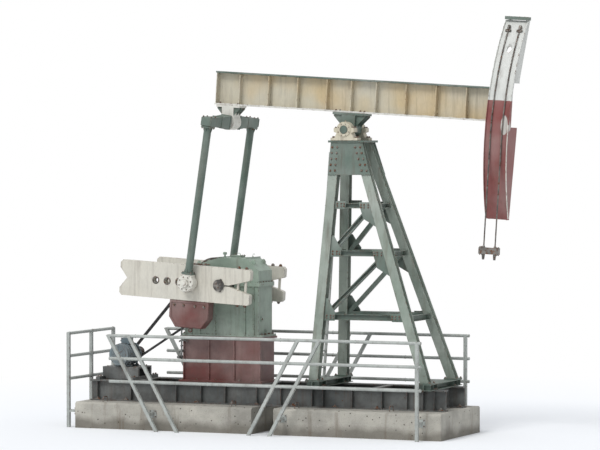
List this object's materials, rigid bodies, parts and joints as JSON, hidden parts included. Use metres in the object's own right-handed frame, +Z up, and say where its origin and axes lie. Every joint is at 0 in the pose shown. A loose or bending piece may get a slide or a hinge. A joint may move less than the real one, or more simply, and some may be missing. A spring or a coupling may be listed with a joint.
{
  "type": "oil-field pumping unit",
  "caption": "Oil-field beam pumping unit: steel post, rocking beam, cranks with counterweights, pitmans, gearbox and belt drive, its horse head swung aside on a hinge.",
  "frame": {"origin": "on the ground under the main bearing, in the plane of symmetry of the frame, on the underside of the front concrete block", "axes": "+X towards the horse head, +Y to the far side with the belt drive, +Z up"},
  "size_m": [8.9189, 2.64, 7.8289],
  "materials": {
    "concrete": "rough cast concrete",
    "frame_paint": "worn dark grey paint",
    "post_paint": "weathered dark green paint",
    "leg_paint": "weathered pale green paint",
    "rail_paint": "weathered light grey paint",
    "cream_paint": "weathered cream paint",
    "white_paint": "weathered white paint",
    "maroon_paint": "weathered maroon paint",
    "gearbox_paint": "weathered grey-green paint",
    "motor_paint": "grey-blue paint",
    "head_paint": "dark red paint below, white above the beam",
    "crank_paint": "weathered off-white paint",
    "bare_steel": "greased bare steel",
    "cast_iron": "oiled cast iron",
    "belt_rubber": "black rubber"
  },
  "bodies": {
    "base": {"plinth_front": "concrete", "plinth_rear": "concrete", "skid_rail_near": "frame_paint", "skid_rail_far": "frame_paint", "skid_cross_members": "frame_paint", "post_sills": "post_paint", "post_rear_legs": "leg_paint", "post_front_legs": "leg_paint", "post_side_braces": "post_paint", "post_end_braces": "post_paint", "post_cap": "post_paint", "ladder": "rail_paint", "saddle_bearings": "cream_paint", "gearbox_pedestal": "maroon_paint", "gearbox_housing": "gearbox_paint", "gearbox_cover": "gearbox_paint", "input_shaft": "bare_steel", "driven_sheave": "cast_iron", "brake_drum": "cast_iron", "brake_shoes": "maroon_paint", "brake_lever": "frame_paint", "motor_base": "frame_paint", "motor": "motor_paint", "motor_sheave": "cast_iron", "v_belts": "belt_rubber", "guard_near": "rail_paint", "guard_far": "rail_paint", "guard_rear": "rail_paint"},
    "beam": {"walking_beam": "cream_paint", "beam_saddle": "post_paint", "tail_bearing": "white_paint", "head_bracket": "post_paint"},
    "head": {"horse_head": "head_paint", "head_cap": "post_paint", "bridle_ropes": "bare_steel", "carrier_bar": "bare_steel"},
    "pitmans": {"equalizer": "post_paint", "pitman_near": "post_paint", "pitman_far": "post_paint", "pin_bearings": "white_paint", "crank_pins": "bare_steel"},
    "cranks": {"crankshaft": "bare_steel", "crank_near": "crank_paint", "crank_far": "crank_paint", "counterweights": "maroon_paint"}
  },
  "joints": [
    {"name": "beam_rock", "type": "hinge", "parent": "base", "child": "beam", "pos_m": [0, 0, 5.72], "axis": [0, 1, 0], "range_deg": [-13.9, 13.9]},
    {"name": "head_swing", "type": "hinge", "parent": "beam", "child": "head", "pos_m": [3.04427, 0, 5.53315], "axis": [0.0613, 0, 0.9981], "range_deg": [0, 90]},
    {"name": "pitman_swing", "type": "hinge", "parent": "beam", "child": "pitmans", "pos_m": [-2.4953, 0, 5.87316], "axis": [0, 1, 0], "range_deg": [-13.9, 13.9]},
    {"name": "crank_turn", "type": "hinge", "parent": "base", "child": "cranks", "pos_m": [-2.35, 0, 2.78], "axis": [0, 1, 0], "continuous": true}
  ],
  "couplings": [
    {"joint": "pitman_swing", "follows": "beam_rock", "ratio": -1}
  ]
}
